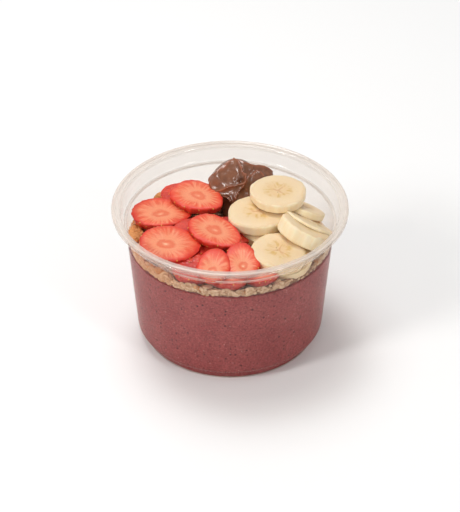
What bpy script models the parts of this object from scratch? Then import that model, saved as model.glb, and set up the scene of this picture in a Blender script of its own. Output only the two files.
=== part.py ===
"""A round clear plastic tub of acai with granola, strawberry slices, banana slices and chocolate spread.

Run with: blender --background --python part.py
Units are metres and +Z is up. The origin is the middle of the circle on which the tub stands.
+X is the eater's right and -Y faces the eater.
"""

import math
import random

import bmesh
import bpy
from mathutils import Matrix, Vector, noise
from mathutils.bvhtree import BVHTree

MM = 0.001

# The tub: a moulded wall of even thickness with a foot, a stacking shoulder and a flanged rim.
RIM_RADIUS = 58.5 * MM
TUB_HEIGHT = 74.7 * MM
WALL = 0.7 * MM
FOOT_RADIUS = 43.6 * MM
FOOT_FLAT_WIDTH = 1.8 * MM
FOOT_HEIGHT = 4.3 * MM
FOOT_RECESS = 1.0 * MM
FOOT_STEP = 0.9 * MM
HEEL_RADIUS = 47.3 * MM
HEEL_HEIGHT = 7.9 * MM
SHOULDER_HEIGHT = 65.4 * MM
SHOULDER_RISE = 0.9 * MM
WALL_TOP_RADIUS = 51.9 * MM
RECESS_RADIUS = 53.7 * MM
LIP_RADIUS = 54.7 * MM
BEAD_RADIUS = 1.0 * MM
BEAD_DROP = 2.1 * MM
FLANGE_DIP = 0.45 * MM

# The filling, from the bottom up.
GAP = 0.32 * MM
ACAI_LEVEL = 55.4 * MM
GRANOLA_EDGE = 58.8 * MM
GRANOLA_DOME = 59.8 * MM
GRANOLA_INSET = 1.8 * MM
# Along the wall the filling sinks towards the back, and a little more at the right.
FALL_START = -22 * MM
FALL_END = 22 * MM
FALL_AT_WALL = 6.0 * MM
FALL_TILT = 0.05

ROUND_STEPS = 48
SLICE_STEPS = 18
SLICE_RINGS = 5


def clear_scene():
    for old in list(bpy.data.objects):
        bpy.data.objects.remove(old, do_unlink=True)


def new_collection(name):
    made = bpy.data.collections.new(name)
    bpy.context.scene.collection.children.link(made)
    return made


def new_material(name, colour, roughness, alpha=1.0):
    """A plain Principled material of that sRGB-linear colour."""
    material = bpy.data.materials.new(name)
    material.use_nodes = True
    shader = material.node_tree.nodes["Principled BSDF"]
    shader.inputs["Base Color"].default_value = (*colour, 1.0)
    shader.inputs["Roughness"].default_value = roughness
    shader.inputs["Metallic"].default_value = 0.0
    shader.inputs["Alpha"].default_value = alpha
    material.diffuse_color = (*colour, alpha)
    return material


def add_object(name, mesh, material, collection):
    mesh.materials.clear()
    mesh.materials.append(material)
    made = bpy.data.objects.new(name, mesh)
    collection.objects.link(made)
    return made


def mesh_from(bm, name):
    mesh = bpy.data.meshes.new(name)
    bm.normal_update()
    bm.to_mesh(mesh)
    bm.free()
    return mesh


def arc(centre, radius, start_deg, end_deg, steps):
    """Points (r, z) round a centre in the plane of the profile."""
    angles = [math.radians(start_deg + (end_deg - start_deg) * i / steps) for i in range(steps + 1)]
    return [(centre[0] + radius * math.cos(a), centre[1] + radius * math.sin(a)) for a in angles]


def turned(name, profile, material, collection):
    """A solid of revolution from (r, z) points that start and end on the axis."""
    mesh = bpy.data.meshes.new(name)
    points = [(r, 0.0, z) for r, z in profile]
    mesh.from_pydata(points, [(i, i + 1) for i in range(len(points) - 1)], [])
    made = add_object(name, mesh, material, collection)
    screw = made.modifiers.new("turn", "SCREW")
    screw.angle = math.tau
    screw.steps = ROUND_STEPS
    screw.render_steps = ROUND_STEPS
    screw.use_merge_vertices = True
    screw.merge_threshold = 0.01 * MM
    return made


# The tub.


def outer_wall_radius(z):
    """Radius of the straight wall's outer face at height z, between heel and shoulder."""
    share = (z - HEEL_HEIGHT) / (SHOULDER_HEIGHT - HEEL_HEIGHT)
    return HEEL_RADIUS + (WALL_TOP_RADIUS - HEEL_RADIUS) * share


def inner_wall_radius(z):
    return outer_wall_radius(z) - WALL


def free_radius(z):
    """Radius within which a topping at height z stays clear of the wall, the shoulder and the lip."""
    if z < SHOULDER_HEIGHT + SHOULDER_RISE + MM:
        return inner_wall_radius(min(z, SHOULDER_HEIGHT)) - GAP
    return RECESS_RADIUS - WALL - GAP


def tub_inside():
    """Inner face of the tub, from the middle of its floor up to the flange."""
    floor = FOOT_RECESS + WALL
    heel = HEEL_HEIGHT - FOOT_HEIGHT
    heel_centre = (HEEL_RADIUS - heel, HEEL_HEIGHT)
    return [
        (0.0, floor),
        (FOOT_RADIUS - WALL - 0.8 * MM, floor),
        (FOOT_RADIUS - WALL, floor + 0.8 * MM),
        (FOOT_RADIUS - WALL + 0.6 * MM, FOOT_HEIGHT + 0.5 * MM),
        *arc(heel_centre, heel - WALL, -55, 0, 3),
        (inner_wall_radius(SHOULDER_HEIGHT), SHOULDER_HEIGHT + 0.4 * MM),
        (RECESS_RADIUS - 2 * WALL, SHOULDER_HEIGHT + SHOULDER_RISE + 0.3 * MM),
        (RECESS_RADIUS - WALL, SHOULDER_HEIGHT + SHOULDER_RISE + 0.8 * MM),
        (LIP_RADIUS - WALL, TUB_HEIGHT - FLANGE_DIP - 0.9 * MM),
        (LIP_RADIUS - 0.2 * MM, TUB_HEIGHT - FLANGE_DIP - 0.2 * MM),
    ]


def tub_rim():
    """Top of the flange, the rounded bead at its edge, and the flange's underside."""
    bead_centre = (RIM_RADIUS - BEAD_RADIUS, TUB_HEIGHT - BEAD_RADIUS)
    skirt_foot = TUB_HEIGHT - BEAD_DROP
    return [
        (LIP_RADIUS + 0.6 * MM, TUB_HEIGHT - FLANGE_DIP),
        (RIM_RADIUS - 2.1 * BEAD_RADIUS, TUB_HEIGHT - FLANGE_DIP),
        *arc(bead_centre, BEAD_RADIUS, 110, 0, 4),
        (RIM_RADIUS - 0.1 * MM, skirt_foot),
        (RIM_RADIUS - WALL, skirt_foot - 0.1 * MM),
        (RIM_RADIUS - WALL - 0.3 * MM, TUB_HEIGHT - FLANGE_DIP - WALL - 0.2 * MM),
        (LIP_RADIUS + 0.5 * MM, TUB_HEIGHT - FLANGE_DIP - WALL - 0.1 * MM),
    ]


def tub_outside():
    """Outer face of the tub, from under the flange down to the middle of its underside."""
    heel = HEEL_HEIGHT - FOOT_HEIGHT
    heel_centre = (HEEL_RADIUS - heel, HEEL_HEIGHT)
    return [
        (LIP_RADIUS, TUB_HEIGHT - FLANGE_DIP - WALL - 0.8 * MM),
        (RECESS_RADIUS, SHOULDER_HEIGHT + SHOULDER_RISE + 0.4 * MM),
        (RECESS_RADIUS - 0.5 * MM, SHOULDER_HEIGHT + SHOULDER_RISE - 0.3 * MM),
        (WALL_TOP_RADIUS, SHOULDER_HEIGHT),
        *arc(heel_centre, heel, 0, -55, 3),
        (FOOT_RADIUS + FOOT_STEP, FOOT_HEIGHT),
        (FOOT_RADIUS + 0.1 * MM, 0.6 * MM),
        (FOOT_RADIUS - 0.5 * MM, 0.0),
        (FOOT_RADIUS - 0.5 * MM - FOOT_FLAT_WIDTH, 0.0),
        (FOOT_RADIUS - 1.3 * MM - FOOT_FLAT_WIDTH, FOOT_RECESS),
        (0.0, FOOT_RECESS),
    ]


def make_tub(material, collection):
    return turned("tub", tub_inside() + tub_rim() + tub_outside(), material, collection)


# The filling that shows through the wall.


def limited(share):
    return max(0.0, min(1.0, share))


def wall_fall(x, y):
    """How far the filling's top has sunk: only in its outer quarter, and fully at the wall behind."""
    back = limited((y - FALL_START) / (FALL_END - FALL_START))
    edge = inner_wall_radius(ACAI_LEVEL + GAP) - GRANOLA_INSET
    outward = limited(4 * math.hypot(x, y) / edge - 3)
    return outward * back**2 * (3 - 2 * back) * (FALL_AT_WALL + FALL_TILT * x)


def make_acai(material, collection):
    """Blended acai: it fills the tub one gap inside the wall, up to its level."""
    inside = [point for point in tub_inside() if point[1] < HEEL_HEIGHT + MM]
    profile = [(max(0.0, r - GAP), z + GAP * (z < FOOT_HEIGHT)) for r, z in inside]
    profile.append((inner_wall_radius(ACAI_LEVEL) - GAP, ACAI_LEVEL - 0.3 * MM))
    profile.append((inner_wall_radius(ACAI_LEVEL) - 2 * GAP, ACAI_LEVEL))
    edge = inner_wall_radius(ACAI_LEVEL + GAP) - GRANOLA_INSET
    profile.append((edge, ACAI_LEVEL))
    profile.append((0.75 * edge, ACAI_LEVEL))
    profile.append((0.0, ACAI_LEVEL))
    piece = turned("acai", profile[::-1], material, collection)
    apply_modifiers(piece)
    for v in piece.data.vertices:
        if v.co.z > ACAI_LEVEL - MM:
            v.co.z -= wall_fall(v.co.x, v.co.y)
            inward = min(1.0, (inner_wall_radius(v.co.z) - GAP) / max(v.co.to_2d().length, MM))
            v.co.x *= inward
            v.co.y *= inward
    return piece


def granola_height(x, y):
    """Top of the granola layer's core: a low dome that sinks along the wall at the back."""
    reach = min(1.0, math.hypot(x, y) / inner_wall_radius(GRANOLA_EDGE))
    level = GRANOLA_DOME + (GRANOLA_EDGE - GRANOLA_DOME) * reach**2
    ripple = 0.25 * MM * math.sin(x * 190 + 1.0) * math.cos(y * 170)
    return level + ripple - wall_fall(x, y)


def granola_core_mesh():
    """A closed disc whose top follows granola_height and whose foot stays at least one gap above the acai."""
    bm = bmesh.new()
    rings = 4
    foot = ACAI_LEVEL + GAP
    bmesh.ops.create_cone(bm, cap_ends=True, cap_tris=True, segments=ROUND_STEPS, radius1=1, radius2=1, depth=1)
    hubs = [v for v in bm.verts if v.co.to_2d().length < 0.5]
    spokes = [e for hub in hubs for e in hub.link_edges]
    bmesh.ops.subdivide_edges(bm, edges=spokes, cuts=rings - 1, use_grid_fill=False)
    for v in bm.verts:
        high = v.co.z > 0
        scale = inner_wall_radius(foot) - GRANOLA_INSET
        v.co.x *= scale
        v.co.y *= scale
        v.co.z = granola_height(v.co.x, v.co.y) if high else foot - 0.8 * wall_fall(v.co.x, v.co.y)
    bmesh.ops.triangulate(bm, faces=bm.faces)
    return mesh_from(bm, "granola_core")


# Slices of fruit.


def slice_mesh(name, length, width, thickness, point, taper, squareness, seed):
    """A rounded disc in the XY plane, thickest at its rim.

    point narrows the outline towards +X, taper makes the lower face smaller than the upper one, and
    squareness is the power that turns a sphere's cosines into the slice's section.
    """
    phases = random.Random(seed)
    lumps = [(k, phases.uniform(0, math.tau), phases.uniform(0.3, 1.0)) for k in (3, 5)]
    bm = bmesh.new()
    bmesh.ops.create_uvsphere(bm, u_segments=SLICE_STEPS, v_segments=SLICE_RINGS, radius=1)
    for v in bm.verts:
        across = min(1.0, v.co.to_2d().length)
        up = v.co.z
        turn = math.atan2(v.co.y, v.co.x)
        reach = across**squareness if across > 1e-4 else 0.0
        reach *= 1 + sum(0.018 * size * math.sin(k * turn + phase) for k, phase, size in lumps)
        height = math.copysign(abs(up) ** squareness, up) if abs(up) > 1e-4 else 0.0
        reach *= 1 - taper * 0.5 * (1 - height)
        v.co.x = 0.5 * length * reach * math.cos(turn)
        v.co.y = 0.5 * width * reach * math.sin(turn) * (1 - point * math.cos(turn))
        v.co.z = 0.5 * thickness * height
    return mesh_from(bm, name)


def slope_matrix(heading_deg, lean):
    """Rotation that points local X along the heading and leans local Z by the slopes (x, y)."""
    up = Vector((lean[0], lean[1], 1.0)).normalized()
    ahead = Vector((math.cos(math.radians(heading_deg)), math.sin(math.radians(heading_deg)), 0.0))
    ahead = (ahead - up * ahead.dot(up)).normalized()
    return Matrix((ahead, up.cross(ahead), up)).transposed()


# Placing the pieces: each lies as the photograph shows it, and soft pieces give way under those above.


def swept_points(piece):
    """Corners, edge middles and face middles of a piece, in world space."""
    mesh = piece.data
    matrix = piece.matrix_world
    corners = [v.co for v in mesh.vertices]
    middles = [(corners[a] + corners[b]) / 2 for a, b in (e.vertices for e in mesh.edges)]
    faces = [f.center for f in mesh.polygons]
    return [matrix @ p for p in [*corners, *middles, *faces]]


def tree_of(piece):
    points = [piece.matrix_world @ v.co for v in piece.data.vertices]
    return BVHTree.FromPolygons(points, [tuple(f.vertices) for f in piece.data.polygons])


def keep_off_wall(piece):
    """Slides a piece towards the axis until it is one gap clear of the tub's inner face."""
    for _ in range(20):
        over, worst = max((p.to_2d().length - free_radius(p.z), p.to_tuple()) for p in swept_points(piece))
        if over <= 0:
            return
        inward = -Vector(worst[:2]).normalized() * (over + 0.01 * MM)
        piece.location.x += inward.x
        piece.location.y += inward.y
        bpy.context.view_layer.update()


def cut_away(piece, cutters):
    """Takes the cutters out of a piece and keeps its largest part."""
    touching = [c for c in cutters if tree_of(piece).overlap(tree_of(c))]
    if not touching:
        return
    holder = new_collection("cutters")
    for cutter in touching:
        holder.objects.link(cutter)
    cut = piece.modifiers.new("cut", "BOOLEAN")
    cut.operation = "DIFFERENCE"
    cut.operand_type = "COLLECTION"
    cut.collection = holder
    cut.solver = "MANIFOLD"
    apply_modifiers(piece)
    for cutter in touching:
        holder.objects.unlink(cutter)
    bpy.data.collections.remove(holder)
    keep_largest(piece)


def apply_modifiers(piece):
    bpy.context.view_layer.update()
    graph = bpy.context.evaluated_depsgraph_get()
    baked = bpy.data.meshes.new_from_object(piece.evaluated_get(graph))
    piece.modifiers.clear()
    piece.data = baked


def keep_largest(piece):
    """Deletes every loose part but the largest."""
    bm = bmesh.new()
    bm.from_mesh(piece.data)
    left = set(bm.verts)
    parts = []
    while left:
        part = set()
        front = [left.pop()]
        while front:
            v = front.pop()
            part.add(v)
            for edge in v.link_edges:
                other = edge.other_vert(v)
                if other in left:
                    left.remove(other)
                    front.append(other)
        parts.append(part)
    parts.sort(key=len)
    scraps = [v for part in parts[:-1] for v in part]
    bmesh.ops.delete(bm, geom=scraps, context="VERTS")
    bmesh.ops.triangulate(bm, faces=bm.faces)
    bm.to_mesh(piece.data)
    bm.free()


# Rows: name, (x, y, z) of the middle in mm, heading in degrees, lean, (length, width, thickness) in mm,
# narrowing of the tip. Those on top come first.
SLICES = (
    ("banana_top", (23.9, 7.6, 75.6), 0, (0.02, -0.02), (28.0, 27.5, 5.3), 0.0),
    ("banana_middle", (14.3, -2.0, 69.4), 15, (0.02, -0.04), (31.5, 27.0, 6.3), 0.0),
    ("strawberry_back", (-16.4, 15.4, 67.5), -42, (-0.05, -0.02), (31.5, 23.0, 5.2), 0.16),
    ("strawberry_middle", (-7.3, -15.6, 68.2), -43, (0.02, -0.06), (31.5, 21.0, 4.8), 0.14),
    ("banana_right", (36.3, -15.6, 68.8), -45, (0.50, 0.30), (26.0, 25.0, 8.5), 0.0),
    ("banana_front", (23.4, -29.3, 65.6), 10, (0.08, -0.10), (27.0, 26.0, 6.3), 0.0),
    ("strawberry_front_big", (-30.6, -23.6, 65.8), -8, (0.05, -0.12), (31.0, 26.0, 5.0), 0.06),
    ("strawberry_left", (-34.2, 7.2, 63.2), -5, (0.00, 0.00), (31.0, 25.0, 5.2), 0.12),
    ("strawberry_front_side", (5.6, -36.2, 66.2), -84, (0.00, -0.22), (23.0, 17.6, 4.8), -0.16),
    ("strawberry_front_half", (-7.6, -40.0, 65.9), -98, (0.00, -0.22), (22.0, 17.0, 4.8), -0.16),
    ("banana_right_thin", (38.5, -6.5, 67.6), -45, (0.55, 0.50), (26.0, 25.0, 3.6), 0.0),
    ("banana_right_back", (34.6, 9.0, 66.2), -45, (0.42, 0.46), (27.0, 26.0, 4.4), 0.0),
    ("chocolate", (6.0, 23.0, 68.0), 0, (0.00, 0.00), (0.0, 0.0, 0.0), 0.0),
    ("banana_front_low", (26.4, -26.6, 61.4), 20, (0.05, -0.16), (27.0, 27.0, 5.4), 0.0),
    ("strawberry_front_low", (-0.4, -41.0, 61.8), 178, (0.00, -0.10), (22.0, 19.0, 6.0), 0.04),
    ("strawberry_front_low_left", (-17.3, -36.5, 61.8), -25, (-0.03, -0.10), (23.0, 20.0, 5.5), 0.06),
    ("strawberry_front_low_right", (14.4, -37.6, 61.8), 25, (0.03, -0.10), (23.0, 20.0, 5.5), 0.06),
    ("strawberry_back_low", (-23.0, 22.6, 63.8), 150, (-0.12, 0.02), (27.0, 21.0, 4.8), 0.08),
    ("banana_middle_low", (18.0, -5.6, 63.0), 60, (0.00, 0.00), (27.0, 27.0, 5.4), 0.0),
    ("strawberry_middle_low", (0.2, -8.2, 63.2), -48, (0.04, -0.05), (24.0, 19.0, 4.6), 0.08),
    ("strawberry_left_low", (-18.5, -7.5, 64.2), 200, (-0.05, 0.00), (22.0, 17.0, 4.6), 0.08),
    ("strawberry_deep", (-13.5, -24.5, 62.8), 60, (0.10, -0.05), (25.0, 19.0, 4.6), 0.08),
)
STRAWBERRY_ROUNDING = 0.34
BANANA_ROUNDING = 0.26
STRAWBERRY_TAPER = 0.13
BANANA_TAPER = 0.02


def slice_piece(row, grow, material, collection):
    """One slice at its place, larger all round by the given amount."""
    name, place, heading, lean, size, point = row
    is_banana = name.startswith("banana")
    rounding = BANANA_ROUNDING if is_banana else STRAWBERRY_ROUNDING
    taper = BANANA_TAPER if is_banana else STRAWBERRY_TAPER
    length, width, thickness = (s * MM + 2 * grow for s in size)
    mesh = slice_mesh(name, length, width, thickness, point, taper, rounding, name)
    piece = add_object(name, mesh, material, collection)
    piece.rotation_euler = slope_matrix(heading, lean).to_euler()
    piece.location = [c * MM for c in place]
    bpy.context.view_layer.update()
    return piece


# The chocolate spread: a spooned dollop with hollows, smoothed faces and folded lips.

# Its body is a smooth union of round lobes: middle and radius in mm, from the dollop's own middle.
CHOCOLATE_LOBES = (
    (Vector((-2.8, 3.6, 2.2)), 11.6),
    (Vector((7.2, 3.0, 1.0)), 9.5),
    (Vector((-7.4, 1.0, 2.4)), 8.9),
    (Vector((-4.0, -6.0, -3.0)), 7.5),
    (Vector((2.0, 0.0, -4.0)), 10.8),
    (Vector((-5.0, -10.5, -6.0)), 5.0),
)
LOBE_SHARPNESS = 1.1
# Hollows pressed in by the spoon: direction from the middle, half width in radians, depth in mm.
CHOCOLATE_HOLLOWS = (
    (Vector((-0.36, -0.20, 0.91)), 0.54, 3.8),
    (Vector((0.30, -0.02, 0.95)), 0.30, 2.0),
    (Vector((-0.64, -0.74, -0.16)), 0.36, 2.4),
    (Vector((0.05, -0.92, 0.35)), 0.30, 1.0),
)
# Faces that the spoon smoothed flat: direction and distance in mm.
CHOCOLATE_FACES = (
    (Vector((-0.45, -0.78, 0.43)), 10.9),
    (Vector((0.55, -0.35, 0.76)), 11.9),
)
FACE_SOFTNESS = 0.8
# Each lip runs along great circles from one direction to the next, with a rise in mm.
CHOCOLATE_LIPS = (
    (((-0.25, 0.45, 0.86), (0.00, 0.05, 1.00), (0.17, -0.30, 0.94), (0.08, -0.65, 0.76)), 1.2),
    (((0.08, -0.65, 0.76), (-0.56, -0.63, 0.55), (-0.95, -0.31, 0.09)), 0.9),
    (((-0.25, 0.45, 0.86), (-0.80, 0.02, 0.60), (-0.96, 0.10, 0.24)), 0.7),
    (((-0.95, -0.31, 0.09), (-0.50, -0.87, 0.02)), 1.1),
    (((-0.20, 0.42, 0.88), (0.41, 0.32, 0.85), (0.87, 0.36, 0.34)), 0.9),
    (((0.12, -0.22, 0.97), (0.53, 0.02, 0.85), (0.78, -0.02, 0.63)), 0.9),
)
LIP_WIDTH = 0.15


def distance_to_arc(direction, start, end):
    """Angle between a direction and the nearest point of the great-circle arc from start to end."""
    start, end = start.normalized(), end.normalized()
    axis = start.cross(end).normalized()
    along = direction - axis * direction.dot(axis)
    if along.length > 1e-6:
        along.normalize()
        inside = start.cross(along).dot(axis) > 0 and along.cross(end).dot(axis) > 0
        if inside:
            return abs(math.asin(max(-1.0, min(1.0, direction.dot(axis)))))
    return min(direction.angle(start), direction.angle(end))


def lobe_reach(direction, middle, radius):
    """Distance at which a ray from the dollop's middle leaves a lobe."""
    along = direction.dot(middle)
    inside = radius**2 - middle.length_squared + along**2
    return along + math.sqrt(max(inside, 0.01))


def soft_least(a, b, width):
    """The smaller of two values, with a rounded change from one to the other."""
    share = max(0.0, min(1.0, 0.5 + 0.5 * (b - a) / width))
    return b + (a - b) * share - width * share * (1 - share)


def chocolate_reach(direction):
    """How far the dollop reaches in a direction, in mm."""
    reaches = [lobe_reach(direction, middle, radius) for middle, radius in CHOCOLATE_LOBES]
    reach = math.log(sum(math.exp(r * LOBE_SHARPNESS) for r in reaches)) / LOBE_SHARPNESS
    reach += 0.5 * noise.noise(direction * 2.2 + Vector((3.1, 0.2, 1.4)))
    for aim, distance in CHOCOLATE_FACES:
        facing = max(direction.dot(aim.normalized()), 0.05)
        reach = soft_least(reach, distance / facing, FACE_SOFTNESS)
    for aim, width, depth in CHOCOLATE_HOLLOWS:
        reach -= depth * max(0.0, 1 - (direction.angle(aim) / width) ** 2) ** 0.8
    raised = 0.0
    for points, rise in CHOCOLATE_LIPS:
        ends = [Vector(point) for point in points]
        away = min(distance_to_arc(direction, a, b) for a, b in zip(ends, ends[1:]))
        raised = max(raised, rise * math.exp(-((away / LIP_WIDTH) ** 2)))
    return reach + raised


def chocolate_piece(row, grow, material, collection):
    """The dollop at its place, larger all round by the given amount, with a flat foot on the granola."""
    place = row[1]
    bm = bmesh.new()
    bmesh.ops.create_uvsphere(bm, u_segments=30, v_segments=20, radius=1)
    for v in bm.verts:
        direction = v.co.normalized()
        v.co = direction * (chocolate_reach(direction) * MM + grow)
        v.co.z = max(v.co.z, granola_height(0.0, 0.0) - place[2] * MM - grow)
    bmesh.ops.remove_doubles(bm, verts=bm.verts, dist=0.02 * MM)
    piece = add_object("chocolate", mesh_from(bm, "chocolate"), material, collection)
    piece.location = [c * MM for c in place]
    bpy.context.view_layer.update()
    return piece


def make_toppings(materials, collection):
    """Places every topping, each cut back to one gap from those above it; gives the grown copies too."""
    spare = new_collection("spare")
    grown = []
    toppings = []
    for row in SLICES:
        kind = row[0].split("_")[0]
        build = chocolate_piece if kind == "chocolate" else slice_piece
        piece = build(row, 0.0, materials[kind], collection)
        keep_off_wall(piece)
        copy = build(row, GAP, materials[kind], spare)
        copy.name = row[0] + "_cutter"
        copy.location = piece.location
        bpy.context.view_layer.update()
        cut_away(piece, grown)
        toppings.append(piece)
        grown.append(copy)
    return toppings, grown, spare


# Granola that shows round the fruit.

CLUSTERS = 14
FLAKES = 44
GRANOLA_BACK_LIMIT = 33 * MM


def lump_mesh(name, size, rough, rounds, seed):
    """An irregular closed lump of the given half sizes."""
    bm = bmesh.new()
    bmesh.ops.create_icosphere(bm, subdivisions=rounds, radius=1)
    shift = Vector((seed * 1.37, seed * 0.71, seed * 2.11))
    for v in bm.verts:
        v.co *= 1 + rough * noise.noise(v.co * 1.6 + shift)
        v.co = Vector(c * s for c, s in zip(v.co, size))
    return mesh_from(bm, name)


def is_clear(piece, toppings):
    own = tree_of(piece)
    if any(own.overlap(tree) for tree in toppings):
        return False
    low = ACAI_LEVEL + GAP
    return all(
        p.to_2d().length < free_radius(p.z) and p.z > low - 0.8 * wall_fall(p.x, p.y)
        for p in swept_points(piece)
    )


def add_granola_pieces(count, sizes, rough, rounds, seed, toppings, collection, material):
    """Scatters lumps over the core, mostly near the wall where granola shows, clear of the toppings."""
    draw = random.Random(seed)
    made = 0
    for attempt in range(count * 40):
        turn = draw.uniform(0, math.tau)
        far = inner_wall_radius(GRANOLA_EDGE) * math.sqrt(draw.uniform(0.74, 0.97))
        size = [draw.uniform(*limits) * MM for limits in sizes]
        spot = Vector((far * math.cos(turn), far * math.sin(turn)))
        lean = (draw.uniform(-0.45, 0.45), draw.uniform(-0.45, 0.45))
        heading = draw.uniform(0, 360)
        sunk = draw.uniform(-0.8, 0.5)
        if spot.y > GRANOLA_BACK_LIMIT:
            continue
        mesh = lump_mesh(f"granola_piece_{seed}_{made}", size, rough, rounds, attempt)
        piece = add_object(mesh.name, mesh, material, collection)
        piece.rotation_euler = slope_matrix(heading, lean).to_euler()
        piece.location = (*spot, granola_height(*spot) + size[2] * sunk)
        bpy.context.view_layer.update()
        swollen = piece.matrix_world.copy()
        piece.scale = (1.08, 1.08, 1.12)
        bpy.context.view_layer.update()
        keep = is_clear(piece, toppings)
        piece.matrix_world = swollen
        if keep:
            made += 1
        else:
            bpy.data.objects.remove(piece, do_unlink=True)
        if made == count:
            break
    bpy.context.view_layer.update()


def join_granola(core, collection):
    """Fuses the loose pieces to the core and removes them."""
    join = core.modifiers.new("join", "BOOLEAN")
    join.operation = "UNION"
    join.operand_type = "COLLECTION"
    join.collection = collection
    join.solver = "MANIFOLD"
    apply_modifiers(core)
    keep_largest(core)
    for piece in list(collection.objects):
        bpy.data.objects.remove(piece, do_unlink=True)
    bpy.data.collections.remove(collection)


def main():
    clear_scene()
    bowl = new_collection("acai_bowl")
    plastic = new_material("clear_plastic", (0.86, 0.82, 0.77), 0.12, alpha=0.25)
    acai = new_material("acai", (0.34, 0.085, 0.09), 0.45)
    granola = new_material("granola", (0.55, 0.36, 0.18), 0.7)
    strawberry = new_material("strawberry", (0.75, 0.09, 0.05), 0.35)
    banana = new_material("banana", (0.85, 0.68, 0.38), 0.45)
    chocolate = new_material("chocolate", (0.075, 0.028, 0.018), 0.2)

    make_tub(plastic, bowl)
    make_acai(acai, bowl)
    core = add_object("granola", granola_core_mesh(), granola, bowl)
    bpy.context.view_layer.update()
    materials = {"strawberry": strawberry, "banana": banana, "chocolate": chocolate}
    toppings, grown, spare = make_toppings(materials, bowl)
    cut_away(core, grown)
    trees = [tree_of(copy) for copy in grown]
    loose = new_collection("granola_pieces")
    add_granola_pieces(CLUSTERS, ((2.6, 4.6), (2.2, 3.6), (1.5, 2.6)), 0.5, 2, 1, trees, loose, granola)
    add_granola_pieces(FLAKES, ((2.0, 3.6), (1.5, 2.6), (0.6, 1.0)), 0.3, 1, 2, trees, loose, granola)
    join_granola(core, loose)
    for copy in grown:
        bpy.data.objects.remove(copy, do_unlink=True)
    bpy.data.collections.remove(spare)

    for piece in bowl.objects:
        piece.data.shade_smooth()
        piece.data.set_sharp_from_angle(angle=math.radians(50))


main()
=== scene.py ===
"""Looks of the acai bowl: clear tub, acai, granola, strawberry and banana slices, chocolate spread."""

import math
import random

import bmesh
import bpy
import numpy as np
from mathutils import Matrix, Vector, noise
from mathutils.bvhtree import BVHTree


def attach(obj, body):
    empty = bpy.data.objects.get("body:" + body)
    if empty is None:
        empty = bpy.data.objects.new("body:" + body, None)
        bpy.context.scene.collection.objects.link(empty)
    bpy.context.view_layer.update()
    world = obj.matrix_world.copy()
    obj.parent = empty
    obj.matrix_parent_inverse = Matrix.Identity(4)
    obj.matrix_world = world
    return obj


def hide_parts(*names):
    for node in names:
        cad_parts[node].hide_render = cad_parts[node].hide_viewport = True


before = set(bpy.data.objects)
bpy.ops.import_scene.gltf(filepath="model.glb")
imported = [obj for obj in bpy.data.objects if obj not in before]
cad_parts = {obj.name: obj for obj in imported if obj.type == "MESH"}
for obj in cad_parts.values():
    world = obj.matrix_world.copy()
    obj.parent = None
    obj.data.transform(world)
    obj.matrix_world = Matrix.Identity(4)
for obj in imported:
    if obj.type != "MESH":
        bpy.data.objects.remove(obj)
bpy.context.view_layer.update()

MM = 0.001
scene = bpy.context.scene

# The same named values as the solids.
RIM_RADIUS = 58.5
TUB_HEIGHT = 74.7
WALL = 0.7
FOOT_RADIUS = 43.6
FOOT_HEIGHT = 4.3
FOOT_RECESS = 1.0
HEEL_RADIUS = 47.3
HEEL_HEIGHT = 7.9
SHOULDER_HEIGHT = 65.4
WALL_TOP_RADIUS = 51.9
RECESS_RADIUS = 53.7
LIP_RADIUS = 54.7
ACAI_LEVEL = 55.4
GAP = 0.32
GRANOLA_EDGE = 58.8
GRANOLA_INSET = 1.8
FALL_START = -22.0
FALL_END = 22.0
FALL_AT_WALL = 6.0
FALL_TILT = 0.05


def outer_wall(z):
    share = (z - HEEL_HEIGHT) / (SHOULDER_HEIGHT - HEEL_HEIGHT)
    return HEEL_RADIUS + (WALL_TOP_RADIUS - HEEL_RADIUS) * share


def inner_wall(z):
    return outer_wall(z) - WALL


# Small tools for node materials.


def new_material(name):
    material = bpy.data.materials.new(name)
    material.use_nodes = True
    material.node_tree.nodes.clear()
    return material


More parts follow.
